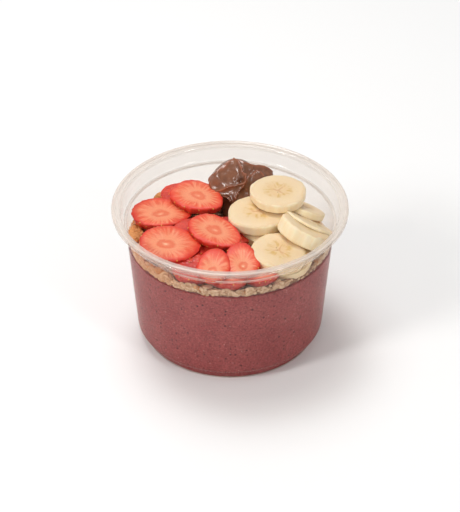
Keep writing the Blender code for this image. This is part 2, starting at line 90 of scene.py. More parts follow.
class Nodes:
    """Adds nodes to a material with short calls."""

    def __init__(self, material):
        self.tree = material.node_tree

    def add(self, kind, inputs=None, **settings):
        node = self.tree.nodes.new(kind)
        for key, value in settings.items():
            setattr(node, key, value)
        for key, value in (inputs or {}).items():
            socket = node.inputs[key]
            if isinstance(value, bpy.types.NodeSocket):
                self.tree.links.new(value, socket)
            else:
                socket.default_value = value
        return node

    def noise(self, vector, scale, detail=2.0, roughness=0.5, distortion=0.0):
        values = {"Vector": vector, "Scale": scale, "Detail": detail}
        values.update({"Roughness": roughness, "Distortion": distortion})
        return self.add("ShaderNodeTexNoise", values).outputs["Fac"]

    def ramp(self, value, stops):
        node = self.add("ShaderNodeValToRGB", {"Fac": value})
        while len(node.color_ramp.elements) < len(stops):
            node.color_ramp.elements.new(0.5)
        for element, (place, colour) in zip(node.color_ramp.elements, stops):
            element.position = place
            element.color = colour if len(colour) == 4 else (*colour, 1.0)
        return node.outputs["Color"]

    def greys(self, value, *stops):
        return self.ramp(value, [(place, (share, share, share)) for place, share in stops])

    def place(self):
        """The place on the object, in metres."""
        return self.add("ShaderNodeTexCoord").outputs["Object"]

    def math(self, operation, a, b=0.0):
        return self.add("ShaderNodeMath", {0: a, 1: b}, operation=operation).outputs[0]

    def vector(self, operation, a, b=None, output=0):
        values = {0: a} if b is None else {0: a, 1: b}
        return self.add("ShaderNodeVectorMath", values, operation=operation).outputs[output]

    def mix(self, amount, a, b, mode="MIX"):
        node = self.add("ShaderNodeMix", data_type="RGBA", blend_type=mode)
        for index, value in ((0, amount), (6, a), (7, b)):
            socket = node.inputs[index]
            if isinstance(value, bpy.types.NodeSocket):
                self.tree.links.new(value, socket)
            else:
                socket.default_value = value if index == 0 or len(value) == 4 else (*value, 1.0)
        return node.outputs[2]

    def bump(self, height, strength, distance):
        values = {"Height": height, "Strength": strength, "Distance": distance}
        return self.add("ShaderNodeBump", values).outputs["Normal"]

    def principled(self, **inputs):
        names = {key.replace("_", " "): value for key, value in inputs.items()}
        node = self.add("ShaderNodeBsdfPrincipled", names)
        output = self.add("ShaderNodeOutputMaterial")
        self.tree.links.new(node.outputs[0], output.inputs[0])


def srgb(r, g, b):
    """Linear colour from 0-255 sRGB."""
    shares = (r / 255, g / 255, b / 255)
    return tuple(c / 12.92 if c <= 0.04045 else ((c + 0.055) / 1.055) ** 2.4 for c in shares)


# Materials.


# The height in mm over which the plastic's milkiness and its painted highlight lines are laid out.
RAMP_HEIGHT = 100.0


def make_plastic():
    """Clear moulded plastic, a little milky: seen through, and shiny where it is seen at a slant, with
    painted highlight lines at the foot, the ledge and the bead.
    """
    material = new_material("clear_plastic")
    n = Nodes(material)
    place = n.place()
    faint = n.noise(place, 45.0, 2.0)
    normal = n.bump(faint, 0.03, 0.0008)
    slant = n.add("ShaderNodeLayerWeight", {"Blend": 0.5, "Normal": normal}).outputs["Facing"]
    tint = n.mix(n.math("POWER", slant, 3.0), (0.955, 0.932, 0.908), (0.92, 0.88, 0.84))
    clear = n.add("ShaderNodeBsdfTransparent", {"Color": tint}).outputs[0]
    smooth = {"Color": (1, 1, 1, 1), "Roughness": 0.06, "Normal": normal}
    gloss = n.add("ShaderNodeBsdfGlossy", smooth).outputs[0]
    white = (*srgb(244, 236, 228), 1.0)
    milk = n.add("ShaderNodeBsdfDiffuse", {"Color": white, "Normal": normal}).outputs[0]
    through = n.add("ShaderNodeBsdfTranslucent", {"Color": white}).outputs[0]
    haze = n.add("ShaderNodeMixShader", {0: 0.5, 1: milk, 2: through}).outputs[0]
    # Milky bands by height. Across the flange the plastic is a little frosted. The bands at the foot's
    # bottom edge, the heel crease, the ledge where the wall opens out and the bead are painted highlight
    # lines.
    height = n.math("MULTIPLY", n.add("ShaderNodeSeparateXYZ", {0: place}).outputs[2], 1.0 / MM)
    milk_and_painted_highlight_at = (
        (0.0, 0.25),
        (0.5, 0.25),
        (0.9, 0.0),
        (FOOT_HEIGHT - 0.3, 0.0),
        (FOOT_HEIGHT, 0.3),
        (FOOT_HEIGHT + 0.3, 0.3),
        (FOOT_HEIGHT + 0.6, 0.0),
        (SHOULDER_HEIGHT - 0.55, 0.0),
        (SHOULDER_HEIGHT - 0.20, 0.75),
        (SHOULDER_HEIGHT + 0.20, 0.75),
        (SHOULDER_HEIGHT + 0.55, 0.04),
        (TUB_HEIGHT - 2.6, 0.04),
        (TUB_HEIGHT - 2.0, 0.22),
        (TUB_HEIGHT - 0.7, 0.22),
        (TUB_HEIGHT - 0.1, 0.8),
    )
    stops = [(z / RAMP_HEIGHT, share) for z, share in milk_and_painted_highlight_at]
    # thick is the milky share at each height, mostly painted highlight lines at the foot edge, heel crease,
    # ledge and bead.
    thick = n.greys(n.math("DIVIDE", height, RAMP_HEIGHT), *stops)
    milky = n.math("MULTIPLY_ADD", n.math("POWER", slant, 7.0), 0.06)
    n.tree.links.new(thick, milky.node.inputs[2])
    shine = n.math("MULTIPLY_ADD", n.math("POWER", slant, 7.5), 0.44)
    shine.node.inputs[2].default_value = 0.03
    body = n.add("ShaderNodeMixShader", {0: milky, 1: clear, 2: haze}).outputs[0]
    mixed = n.add("ShaderNodeMixShader", {0: shine, 1: body, 2: gloss}).outputs[0]
    output = n.add("ShaderNodeOutputMaterial")
    n.tree.links.new(mixed, output.inputs[0])
    return material


def make_acai_material():
    material = new_material("acai_blend")
    n = Nodes(material)
    place = n.place()
    broad = n.noise(place, 70.0, 3.0, 0.6)
    fine = n.noise(place, 900.0, 2.0, 0.6)
    base = n.ramp(broad, [(0.3, srgb(150, 62, 64)), (0.7, srgb(164, 78, 78))])
    tone = n.greys(fine, (0.32, 0.70), (0.68, 1.24))
    base = n.mix(1.0, base, tone, "MULTIPLY")
    # Dark and pale specks: cells a metre, radius in a cell, share of the cells, colour, strength.
    for scale, size, share, colour, strength in (
        (380.0, 0.21, 0.22, srgb(58, 20, 26), 0.85),
        (800.0, 0.30, 0.20, srgb(80, 30, 36), 0.6),
        (1300.0, 0.34, 0.20, srgb(86, 34, 40), 0.5),
        (700.0, 0.22, 0.05, srgb(222, 168, 158), 0.5),
        (420.0, 0.15, 0.025, srgb(210, 112, 70), 0.7),
    ):
        cells = n.add("ShaderNodeTexVoronoi", {"Vector": place, "Scale": scale})
        pick = n.add("ShaderNodeSeparateColor", {0: cells.outputs["Color"]}).outputs[0]
        near = n.math("LESS_THAN", cells.outputs["Distance"], size)
        fleck = n.math("MULTIPLY", near, n.math("LESS_THAN", pick, share))
        base = n.mix(n.math("MULTIPLY", fleck, strength), base, colour)
    normal = n.bump(fine, 0.3, 0.0005)
    n.principled(Base_Color=base, Roughness=0.5, Specular_IOR_Level=0.3, Normal=normal)
    return material


def slice_coordinates(n):
    """Radius and direction across a slice, from its UV map, whose middle is (0.5, 0.5)."""
    uv = n.add("ShaderNodeUVMap", uv_map="across").outputs[0]
    centred = n.vector("ADD", uv, (-0.5, -0.5, 0.0))
    doubled = n.vector("MULTIPLY", centred, (2.0, 2.0, 0.0))
    return doubled, n.vector("LENGTH", doubled, output="Value"), n.vector("NORMALIZE", doubled)


def rays(n, radius, toward, scale, stretch, shift):
    """Streaks that run outward from the middle of a slice."""
    lifted = n.add("ShaderNodeCombineXYZ", {2: n.math("MULTIPLY", radius, stretch)}).outputs[0]
    return n.noise(n.vector("ADD", n.vector("ADD", toward, lifted), shift), scale, 2.0, 0.55)


def object_shift(n):
    """A vector that differs from object to object, so that no two slices match."""
    number = n.add("ShaderNodeObjectInfo").outputs["Random"]
    values = {0: n.math("MULTIPLY", number, 37.0), 1: n.math("MULTIPLY", number, 11.0)}
    return n.add("ShaderNodeCombineXYZ", values).outputs[0]


def make_strawberry_flesh():
    material = new_material("strawberry_flesh")
    n = Nodes(material)
    across, radius, toward = slice_coordinates(n)
    shift = object_shift(n)
    moved = n.vector("ADD", across, shift)
    wobble = n.noise(moved, 2.6, 3.0, 0.6)
    bent = n.math("ADD", radius, n.math("MULTIPLY", n.math("SUBTRACT", wobble, 0.5), 0.34))
    zones = n.ramp(bent, [
        (0.00, srgb(246, 190, 154)),
        (0.06, srgb(238, 154, 116)),
        (0.12, srgb(232, 122, 84)),
        (0.23, srgb(230, 112, 74)),
        (0.33, srgb(239, 150, 110)),
        (0.48, srgb(238, 140, 100)),
        (0.63, srgb(232, 108, 70)),
        (0.76, srgb(234, 92, 54)),
        (0.87, srgb(230, 74, 48)),
        (0.96, srgb(218, 54, 38)),
    ])
    streaks = rays(n, radius, toward, 7.5, 0.22, shift)
    finer = rays(n, radius, toward, 12.0, 0.3, shift)
    strength = n.greys(bent, (0.38, 0.0), (0.55, 0.8), (0.74, 1.0), (0.91, 0.0))
    pale = n.greys(streaks, (0.46, 0.0), (0.68, 1.0))
    thin = n.greys(finer, (0.50, 0.0), (0.68, 1.0))
    deep = n.greys(streaks, (0.30, 1.0), (0.48, 0.0))
    base = n.mix(n.math("MULTIPLY", n.math("MULTIPLY", deep, strength), 0.35), zones, srgb(216, 60, 40))
    base = n.mix(n.math("MULTIPLY", n.math("MULTIPLY", thin, strength), 0.26), base, srgb(246, 172, 136))
    base = n.mix(n.math("MULTIPLY", n.math("MULTIPLY", pale, strength), 0.60), base, srgb(246, 170, 130))
    fine = n.noise(moved, 20.0, 3.0, 0.6)
    base = n.mix(1.0, base, n.greys(fine, (0.3, 0.93), (0.7, 1.05)), "MULTIPLY")
    relief = n.mix(0.5, pale, n.greys(fine, (0.3, 0.0), (0.7, 1.0)))
    normal = n.bump(relief, 0.16, 0.0004)
    n.principled(
        Base_Color=base, Roughness=0.36, Specular_IOR_Level=0.35, Subsurface_Weight=0.2,
        Subsurface_Radius=(1.0, 0.35, 0.2), Subsurface_Scale=0.001, Normal=normal,
    )
    return material


def make_strawberry_skin():
    material = new_material("strawberry_skin")
    n = Nodes(material)
    place = n.place()
    broad = n.noise(place, 260.0, 2.0)
    base = n.ramp(broad, [(0.3, srgb(184, 36, 30)), (0.7, srgb(226, 72, 50))])
    dimples = n.add("ShaderNodeTexVoronoi", {"Vector": place, "Scale": 420.0}).outputs["Distance"]
    normal = n.bump(n.greys(dimples, (0.0, 0.0), (0.55, 1.0)), 0.5, 0.0005)
    n.principled(
        Base_Color=base, Roughness=0.36, Specular_IOR_Level=0.45, Subsurface_Weight=0.15,
        Subsurface_Radius=(1.0, 0.3, 0.2), Subsurface_Scale=0.001, Normal=normal,
    )
    return material


def make_seed_material():
    material = new_material("strawberry_seed")
    n = Nodes(material)
    base = n.ramp(n.noise(n.place(), 400.0), [(0.3, srgb(206, 138, 48)), (0.7, srgb(232, 184, 90))])
    n.principled(Base_Color=base, Roughness=0.4)
    return material


def make_banana_flesh():
    material = new_material("banana_flesh")
    n = Nodes(material)
    across, radius, toward = slice_coordinates(n)
    shift = object_shift(n)
    moved = n.vector("ADD", across, shift)
    wobble = n.noise(moved, 2.0, 3.0, 0.6)
    bent = n.math("ADD", radius, n.math("MULTIPLY", n.math("SUBTRACT", wobble, 0.5), 0.5))
    zones = n.ramp(bent, [
        (0.00, srgb(228, 194, 147)),
        (0.12, srgb(231, 199, 153)),
        (0.30, srgb(230, 197, 149)),
        (0.44, srgb(232, 203, 159)),
        (0.58, srgb(235, 208, 167)),
        (0.84, srgb(236, 211, 173)),
        (0.93, srgb(233, 206, 165)),
        (1.00, srgb(241, 221, 187)),
    ])
    # Soft golden strokes round the middle.
    streaks = rays(n, radius, toward, 2.6, 1.1, shift)
    inner = n.greys(bent, (0.14, 0.0), (0.24, 1.0), (0.38, 1.0), (0.56, 0.0))
    dusky = n.greys(streaks, (0.48, 0.0), (0.62, 1.0))
    base = n.mix(n.math("MULTIPLY", n.math("MULTIPLY", dusky, inner), 0.75), zones, srgb(212, 172, 98))
    # Three short seams that meet in the middle, with a few dark seeds beside them.
    parts = n.add("ShaderNodeSeparateXYZ", {0: across}).outputs
    turn = n.math("ARCTAN2", parts[1], parts[0])
    folded = n.math("PINGPONG", n.math("ADD", turn, n.math("MULTIPLY", wobble, 2.4)), math.pi / 3)
    aside = n.math("MULTIPLY", radius, n.math("SINE", folded))
    narrow = n.greys(aside, (0.014, 1.0), (0.05, 0.0))
    seam = n.math("MULTIPLY", narrow, n.greys(radius, (0.18, 1.0), (0.32, 0.0)))
    base = n.mix(n.math("MULTIPLY", seam, 0.55), base, srgb(206, 150, 104))
    cells = n.add("ShaderNodeTexVoronoi", {"Vector": moved, "Scale": 8.0})
    spots = n.greys(cells.outputs["Distance"], (0.14, 1.0), (0.26, 0.0))
    number = n.add("ShaderNodeSeparateColor", {0: cells.outputs["Color"]}).outputs[0]
    pick = n.math("GREATER_THAN", number, 0.5)
    middle = n.greys(radius, (0.13, 1.0), (0.20, 0.0))
    spots = n.math("MULTIPLY", n.math("MULTIPLY", spots, pick), middle)
    base = n.mix(n.math("MULTIPLY", spots, 0.7), base, srgb(136, 84, 50))
    fine = n.noise(moved, 22.0, 3.0, 0.6)
    base = n.mix(1.0, base, n.greys(fine, (0.3, 0.98), (0.7, 1.02)), "MULTIPLY")
    normal = n.bump(n.mix(0.5, n.greys(fine, (0.3, 0.0), (0.7, 1.0)), dusky), 0.25, 0.0004)
    n.principled(
        Base_Color=base, Roughness=0.42, Specular_IOR_Level=0.35, Subsurface_Weight=0.35,
        Subsurface_Radius=(1.0, 0.75, 0.4), Subsurface_Scale=0.0018, Normal=normal,
    )
    return material


def make_banana_side():
    material = new_material("banana_side")
    n = Nodes(material)
    place = n.place()
    stretched = n.vector("MULTIPLY", place, (1.0, 1.0, 0.15))
    ridges = n.noise(stretched, 420.0, 2.0, 0.6)
    broad = n.noise(place, 120.0, 2.0)
    base = n.ramp(broad, [(0.3, srgb(252, 228, 186)), (0.7, srgb(254, 238, 204))])
    base = n.mix(0.3, base, n.ramp(ridges, [(0.3, srgb(242, 210, 162)), (0.7, srgb(254, 244, 218))]))
    normal = n.bump(ridges, 0.5, 0.0005)
    n.principled(
        Base_Color=base, Roughness=0.5, Specular_IOR_Level=0.3, Subsurface_Weight=0.2,
        Subsurface_Radius=(1.0, 0.7, 0.35), Subsurface_Scale=0.0015, Normal=normal,
    )
    return material


def make_chocolate_material():
    material = new_material("chocolate_spread")
    n = Nodes(material)
    place = n.place()
    edge = n.add("ShaderNodeAttribute", attribute_name="edge").outputs["Fac"]
    broad = n.noise(place, 160.0, 3.0, 0.55, 0.4)
    base = n.ramp(broad, [(0.3, srgb(106, 61, 39)), (0.7, srgb(144, 90, 60))])
    # The thin edges are mixed towards a lighter reddish brown: a painted highlight along the lips.
    base = n.mix(n.math("MULTIPLY", edge, 0.6), base, srgb(168, 94, 62))
    fine = n.noise(place, 700.0, 3.0, 0.5, 0.6)
    normal = n.bump(n.greys(fine, (0.3, 0.0), (0.7, 1.0)), 0.12, 0.0005)
    n.principled(Base_Color=base, Roughness=0.27, Specular_IOR_Level=0.9, Normal=normal)
    return material


def make_granola_material(name, low, high, patch):
    material = new_material(name)
    n = Nodes(material)
    place = n.place()
    tint = n.add("ShaderNodeAttribute", attribute_name="tint").outputs["Fac"]
    orange_by_place = n.add("ShaderNodeAttribute", attribute_name="orange_by_place").outputs["Fac"]
    base = n.ramp(tint, [(0.0, patch), (0.25, low), (1.0, high)])
    # Pieces towards the left and back are mixed towards orange, by their place.
    base = n.mix(n.math("MULTIPLY", orange_by_place, 0.75), base, srgb(240, 156, 84))
    rough = n.noise(place, 700.0, 4.0, 0.65)
    base = n.mix(0.4, base, n.ramp(rough, [(0.32, patch), (0.62, high)]))
    normal = n.bump(rough, 0.5, 0.0005)
    n.principled(Base_Color=base, Roughness=0.62, Specular_IOR_Level=0.3, Normal=normal)
    return material


plastic = make_plastic()
acai_blend = make_acai_material()
flesh = make_strawberry_flesh()
skin = make_strawberry_skin()
seed_coat = make_seed_material()
banana_flesh = make_banana_flesh()
banana_side = make_banana_side()
chocolate_spread = make_chocolate_material()
oat = make_granola_material("oat_flakes", srgb(202, 158, 120), srgb(248, 226, 196), srgb(168, 118, 82))
cluster = make_granola_material("oat_clusters", srgb(190, 128, 80), srgb(226, 168, 112), srgb(160, 100, 62))
crumb = make_granola_material("granola_bed", srgb(172, 128, 94), srgb(196, 154, 118), srgb(134, 92, 66))


# Mesh tools.


def add_object(name, data):
    made = bpy.data.objects.new(name, data)
    scene.collection.objects.link(made)
    return made


def piece_from(name, vertices, faces, material):
    """A new object from millimetre points."""
    mesh = bpy.data.meshes.new(name)
    mesh.from_pydata((np.asarray(vertices) * MM).tolist(), [], faces)
    mesh.materials.append(material)
    mesh.validate()
    return add_object(name, mesh)


def settle(made, slot, *nodes, angle=60):
    """Smooth shading below the angle, and the piece's body and replaced nodes. The slot is not used."""
    made.data.shade_smooth()
    made.data.set_sharp_from_angle(angle=math.radians(angle))
    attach(made, "root")
    if nodes:
        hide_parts(*nodes)


def revolve(name, profile, steps, material, wobble=None, bite=0.0):
    """Turns (r, z) points in mm round +Z. A wobbled one reaches at most the given depth into the wall."""
    vertices, faces, rings = [], [], []
    for r, z in profile:
        if r < 1e-6:
            rings.append([len(vertices)])
            vertices.append((0.0, 0.0, z))
            continue
        ring = []
        for k in range(steps):
            a = math.tau * k / steps
            up = wobble(r * math.cos(a), r * math.sin(a), z) if wobble else z
            far = min(r, inner_wall(up) + bite) if wobble else r
            ring.append(len(vertices))
            vertices.append((far * math.cos(a), far * math.sin(a), up))
        rings.append(ring)
    for low, high in zip(rings, rings[1:]):
        for k in range(steps):
            j = (k + 1) % steps
            if len(low) == 1:
                faces.append((low[0], high[k], high[j]))
            elif len(high) == 1:
                faces.append((low[k], high[0], low[j]))
            else:
                faces.append((low[k], high[k], high[j], low[j]))
    made = piece_from(name, vertices, faces, material)
    bm = bmesh.new()
    bm.from_mesh(made.data)
    bmesh.ops.recalc_face_normals(bm, faces=bm.faces)
    bm.to_mesh(made.data)
    bm.free()
    return made


def arc(centre, radius, start, end, steps):
    angles = [math.radians(start + (end - start) * i / steps) for i in range(steps + 1)]
    return [(centre[0] + radius * math.cos(a), centre[1] + radius * math.sin(a)) for a in angles]


# The tub.


def tub_profile():
    floor = FOOT_RECESS + WALL
    heel = HEEL_HEIGHT - FOOT_HEIGHT
    centre = (HEEL_RADIUS - heel, HEEL_HEIGHT)
    top = TUB_HEIGHT - 0.45
    inside = [
        (0.0, floor),
        (FOOT_RADIUS - WALL - 1.0, floor),
        *arc((FOOT_RADIUS - WALL - 0.8, floor + 0.8), 0.8, -90, 0, 4),
        (FOOT_RADIUS - WALL + 0.6, FOOT_HEIGHT + 0.5),
        *arc(centre, heel - WALL, -50, 0, 8),
        *[(inner_wall(z), z) for z in (20, 32, 44, 56, 62)],
        (inner_wall(SHOULDER_HEIGHT), SHOULDER_HEIGHT + 0.3),
        (inner_wall(SHOULDER_HEIGHT) + 0.25, SHOULDER_HEIGHT + 0.75),
        (RECESS_RADIUS - WALL - 0.45, SHOULDER_HEIGHT + 1.15),
        (RECESS_RADIUS - WALL, SHOULDER_HEIGHT + 1.7),
        (LIP_RADIUS - WALL - 0.1, TUB_HEIGHT - 1.9),
        *arc((LIP_RADIUS + 0.45, top - 1.0), 1.0, 175, 95, 5),
    ]
    bead = (RIM_RADIUS - 1.0, TUB_HEIGHT - 1.0)
    rim = [
        (RIM_RADIUS - 2.3, top),
        (RIM_RADIUS - 1.8, top + 0.08),
        *arc(bead, 1.0, 120, 0, 9),
        (RIM_RADIUS - 0.08, TUB_HEIGHT - 2.0),
        (RIM_RADIUS - WALL, TUB_HEIGHT - 2.15),
        (RIM_RADIUS - WALL - 0.25, TUB_HEIGHT - 1.3),
        (LIP_RADIUS + 0.6, top - WALL),
    ]
    outside = [
        *arc((LIP_RADIUS + 0.5, top - WALL - 0.6), 0.6, 100, 175, 4),
        (RECESS_RADIUS + 0.05, SHOULDER_HEIGHT + 1.7),
        (RECESS_RADIUS - 0.35, SHOULDER_HEIGHT + 0.9),
        (WALL_TOP_RADIUS + 0.4, SHOULDER_HEIGHT + 0.25),
        (WALL_TOP_RADIUS, SHOULDER_HEIGHT - 0.1),
        *[(outer_wall(z), z) for z in (62, 56, 44, 32, 20)],
        *arc(centre, heel, 0, -50, 8),
        (FOOT_RADIUS + 0.95, FOOT_HEIGHT + 0.15),
        (FOOT_RADIUS + 0.75, FOOT_HEIGHT - 0.35),
        (FOOT_RADIUS + 0.1, 0.7),
        *arc((FOOT_RADIUS - 0.6, 0.7), 0.7, 0, -90, 4),
        (FOOT_RADIUS - 2.2, 0.0),
        (FOOT_RADIUS - 2.9, FOOT_RECESS),
        (0.0, FOOT_RECESS),
    ]
    return inside + rim + outside


TUB_STEPS = 160
settle(revolve("tub_clear", tub_profile(), TUB_STEPS, plastic), "clear_plastic", "tub", angle=80)


# The acai. It reaches a little into the wall, so that no air gap shows.
ACAI_BITE = 0.5
ACAI_STEPS = 300
# Below this height the acai keeps its form, and above it the fall and the unevenness grow.
ACAI_FALL_FOOT = 40.0


def limited(share):
    return max(0.0, min(1.0, share))


def wall_fall(x, y):
    """How far the filling has sunk, in mm: only in its outer quarter, and fully at the wall behind."""
    back = limited((y - FALL_START) / (FALL_END - FALL_START))
    edge = inner_wall(ACAI_LEVEL + GAP) - GRANOLA_INSET
    outward = limited(4 * math.hypot(x, y) / edge - 3)
    return outward * back**2 * (3 - 2 * back) * (FALL_AT_WALL + FALL_TILT * x)


def acai_profile():
    floor = FOOT_RECESS + WALL
    heel = HEEL_HEIGHT - FOOT_HEIGHT
    centre = (HEEL_RADIUS - heel, HEEL_HEIGHT)
    bite = ACAI_BITE
    return [
        (0.0, floor - bite),
        (FOOT_RADIUS - 2.6, floor - bite),
        (FOOT_RADIUS - 2.1, 0.35),
        (FOOT_RADIUS - 0.8, 0.25),
        (FOOT_RADIUS - 0.25, 0.8),
        (FOOT_RADIUS + 0.45, FOOT_HEIGHT - 0.2),
        (FOOT_RADIUS - WALL + 0.6 + bite, FOOT_HEIGHT + 0.3),
        *arc(centre, heel - WALL + bite, -50, 0, 8),
        *[(inner_wall(z) + bite, z) for z in (20, 32, 44, 50)],
        (inner_wall(53.5) + bite, 53.5),
        (inner_wall(ACAI_LEVEL) + bite, ACAI_LEVEL - 0.25),
        (inner_wall(ACAI_LEVEL) - 0.6, ACAI_LEVEL + 0.05),
        *[(r, ACAI_LEVEL) for r in (48.9, 46.0, 42.0, 38.0, 36.0, 30.0, 0.0)],
    ]


def acai_wobble(x, y, z):
    """The acai's height at a place: uneven near its top, which falls towards the back."""
    if z < ACAI_FALL_FOOT:
        return z
    uneven = 0.45 * noise.noise(Vector((x, y, 0.0)) * 0.22) + 0.25 * noise.noise(Vector((x, y, 5.0)) * 0.6)
    share = (z - ACAI_FALL_FOOT) / (ACAI_LEVEL - ACAI_FALL_FOOT)
    return z + uneven * share**4 - share * wall_fall(x, y)


filling = revolve("acai_fill", acai_profile(), ACAI_STEPS, acai_blend, acai_wobble, ACAI_BITE)
settle(filling, "acai", "acai")


# Slices, with those on top first. Rows: name, middle, heading, lean, size, narrowing of the tip.
SLICES = (
    ("banana_top", (23.9, 7.6, 75.6), 0, (0.02, -0.02), (28.0, 27.5, 5.3), 0.0),
    ("banana_middle", (14.3, -2.0, 69.4), 15, (0.02, -0.04), (31.5, 27.0, 6.3), 0.0),
    ("strawberry_back", (-16.4, 15.4, 67.5), -42, (-0.05, -0.02), (31.5, 23.0, 5.2), 0.16),
    ("strawberry_middle", (-7.3, -15.6, 68.2), -43, (0.02, -0.06), (31.5, 21.0, 4.8), 0.14),
    ("banana_right", (35.8, -15.4, 68.8), -45, (0.50, 0.30), (26.0, 25.0, 8.5), 0.0),
    ("banana_front", (23.4, -29.3, 65.6), 10, (0.08, -0.10), (27.0, 26.0, 6.3), 0.0),
    ("strawberry_front_big", (-29.2, -22.6, 65.8), -8, (0.05, -0.12), (31.0, 26.0, 5.0), 0.06),
    ("strawberry_left", (-34.2, 7.2, 63.2), -5, (0.00, 0.00), (31.0, 25.0, 5.2), 0.12),
    ("strawberry_front_side", (5.6, -36.2, 66.2), -84, (0.00, -0.22), (23.0, 17.6, 4.8), -0.16),
    ("strawberry_front_half", (-7.6, -40.0, 65.9), -98, (0.00, -0.22), (22.0, 17.0, 4.8), -0.16),
    ("banana_right_thin", (38.5, -6.5, 67.6), -45, (0.55, 0.50), (26.0, 25.0, 3.6), 0.0),
    ("banana_right_back", (34.6, 9.0, 66.2), -45, (0.42, 0.46), (27.0, 26.0, 4.4), 0.0),
    ("chocolate", (6.0, 23.0, 68.0), 0, (0.0, 0.0), (0.0, 0.0, 0.0), 0.0),
    ("banana_front_low", (26.4, -26.6, 61.4), 20, (0.05, -0.16), (27.0, 27.0, 5.4), 0.0),
    ("strawberry_front_low", (-0.4, -41.0, 61.8), 178, (0.00, -0.10), (22.0, 19.0, 6.0), 0.04),
    ("strawberry_front_low_left", (-17.3, -36.5, 61.8), -25, (-0.03, -0.10), (23.0, 20.0, 5.5), 0.06),
    ("strawberry_front_low_right", (14.4, -37.6, 61.8), 25, (0.03, -0.10), (23.0, 20.0, 5.5), 0.06),
    ("strawberry_back_low", (-23.0, 22.6, 63.8), 150, (-0.12, 0.02), (27.0, 21.0, 4.8), 0.08),
    ("banana_middle_low", (18.0, -5.6, 63.0), 60, (0.00, 0.00), (27.0, 27.0, 5.4), 0.0),
    ("strawberry_middle_low", (0.2, -8.2, 63.2), -48, (0.04, -0.05), (24.0, 19.0, 4.6), 0.08),
    ("strawberry_left_low", (-18.5, -7.5, 64.2), 200, (-0.05, 0.00), (22.0, 17.0, 4.6), 0.08),
    ("strawberry_deep", (-13.5, -24.5, 62.8), 60, (0.10, -0.05), (25.0, 19.0, 4.6), 0.08),
)

# Strawberry pieces with skin on their faces. Most of them show their skin. On strawberry_deep the dark skin
# is painted shade, standing in for flesh that lies in shade.
SKIN_UP_AND_SHADED = (
    "strawberry_left_low", "strawberry_deep", "strawberry_middle_low", "strawberry_back_low",
    "strawberry_front_low_left",
)
# Where the core lies, along and across a slice, when it is not in the middle.
CORE_PLACE = {
    "strawberry_front_side": 0.42,
    "strawberry_front_half": 0.42,
    "strawberry_back": 0.08,
    "strawberry_left": -0.20j,
    "strawberry_front_big": -0.12 - 0.14j,
}
# Roundness of the rim, narrowing downwards, counts and height of the rim's waves, unevenness of the face.
KINDS = {
    "banana": (0.26, 0.02, (7, 11, 17), 0.008, 0.22),
    "strawberry": (0.34, 0.13, (13, 19, 27), 0.010, 0.30),
}
# Height and width of the shallow dent in the middle of a face.
DENT = (0.35, 0.22)
# Steps round and over a slice, for the piece itself and for what cuts the lower ones back.
PIECE_STEPS = (96, 40)
CUTTER_STEPS = (48, 16)
CUTTER_GAP = 0.12
# The chance tries, spacing, half sizes and depth of a strawberry's seeds, in mm.
SEED_TRIES = 60
SEED_SPACING = 2.8
SEED_HALF_SIZES = (0.32, 0.50, 0.22)
SEED_DEPTH = 0.05


def slope_matrix(heading_deg, lean):
    up = Vector((lean[0], lean[1], 1.0)).normalized()
    ahead = Vector((math.cos(math.radians(heading_deg)), math.sin(math.radians(heading_deg)), 0.0))
    ahead = (ahead - up * ahead.dot(up)).normalized()
    return Matrix((ahead, up.cross(ahead), up)).transposed()


def slice_shape(row, turns, rows, grow=0.0):
    """Points of a slice in its own frame, in mm. One that is grown, to cut others, has no fine waves."""
    name, size, point = row[0], row[4], row[5]
    rounding, taper, counts, wave, uneven = KINDS[name.split("_")[0]]
    draw = random.Random(name)
    lumps = [(k, draw.uniform(0, math.tau), draw.uniform(0.3, 1.0)) for k in (3, 5)]
    fine = [(k, draw.uniform(0, math.tau), draw.uniform(0.3, 1.0)) for k in counts]
    length, width, thickness = (s + 2 * grow for s in size)
    shift = Vector((draw.uniform(0, 50), draw.uniform(0, 50), draw.uniform(0, 50)))
    points = []
    for j in range(rows + 1):
        latitude = -math.pi / 2 + math.pi * j / rows
        across, up = math.cos(latitude), math.sin(latitude)
        flat = across**rounding if across > 1e-4 else 0.0
        height = math.copysign(abs(up) ** rounding, up) if abs(up) > 1e-4 else 0.0
        for i in range(turns):
            turn = math.tau * i / turns
            reach = flat * (1 + sum(0.018 * s * math.sin(k * turn + p) for k, p, s in lumps))
            reach *= 1 - taper * 0.5 * (1 - height)
            if not grow:
                rim = max(0.0, flat - 0.7) / 0.3
                reach *= 1 + rim * sum(wave * s * math.sin(k * turn + p) for k, p, s in fine)
            x = 0.5 * length * reach * math.cos(turn)
            y = 0.5 * width * reach * math.sin(turn) * (1 - point * math.cos(turn))
            z = 0.5 * thickness * height
            if not grow and abs(height) > 0.8:
                z += uneven * noise.noise(Vector((x, y, 0.0)) * 0.16 + shift)
                z -= DENT[0] * math.exp(-((reach / DENT[1]) ** 2)) * (height > 0)
            points.append((x, y, z))
    return points


def slice_faces(turns, rows):
    faces = []
    for j in range(rows):
        for i in range(turns):
            k = (i + 1) % turns
            faces.append((j * turns + i, j * turns + k, (j + 1) * turns + k, (j + 1) * turns + i))
    return faces


def slice_mesh(row, turns, rows, grow=0.0):
    """A closed slice mesh in metres, in its own frame."""
    bm = bmesh.new()
    points = [bm.verts.new([c * MM for c in p]) for p in slice_shape(row, turns, rows, grow)]
    for face in slice_faces(turns, rows):
        bm.faces.new([points[i] for i in face])
    bmesh.ops.remove_doubles(bm, verts=bm.verts, dist=1e-6)
    bmesh.ops.recalc_face_normals(bm, faces=bm.faces)
    mesh = bpy.data.meshes.new(row[0])
    bm.to_mesh(mesh)
    bm.free()
    return mesh


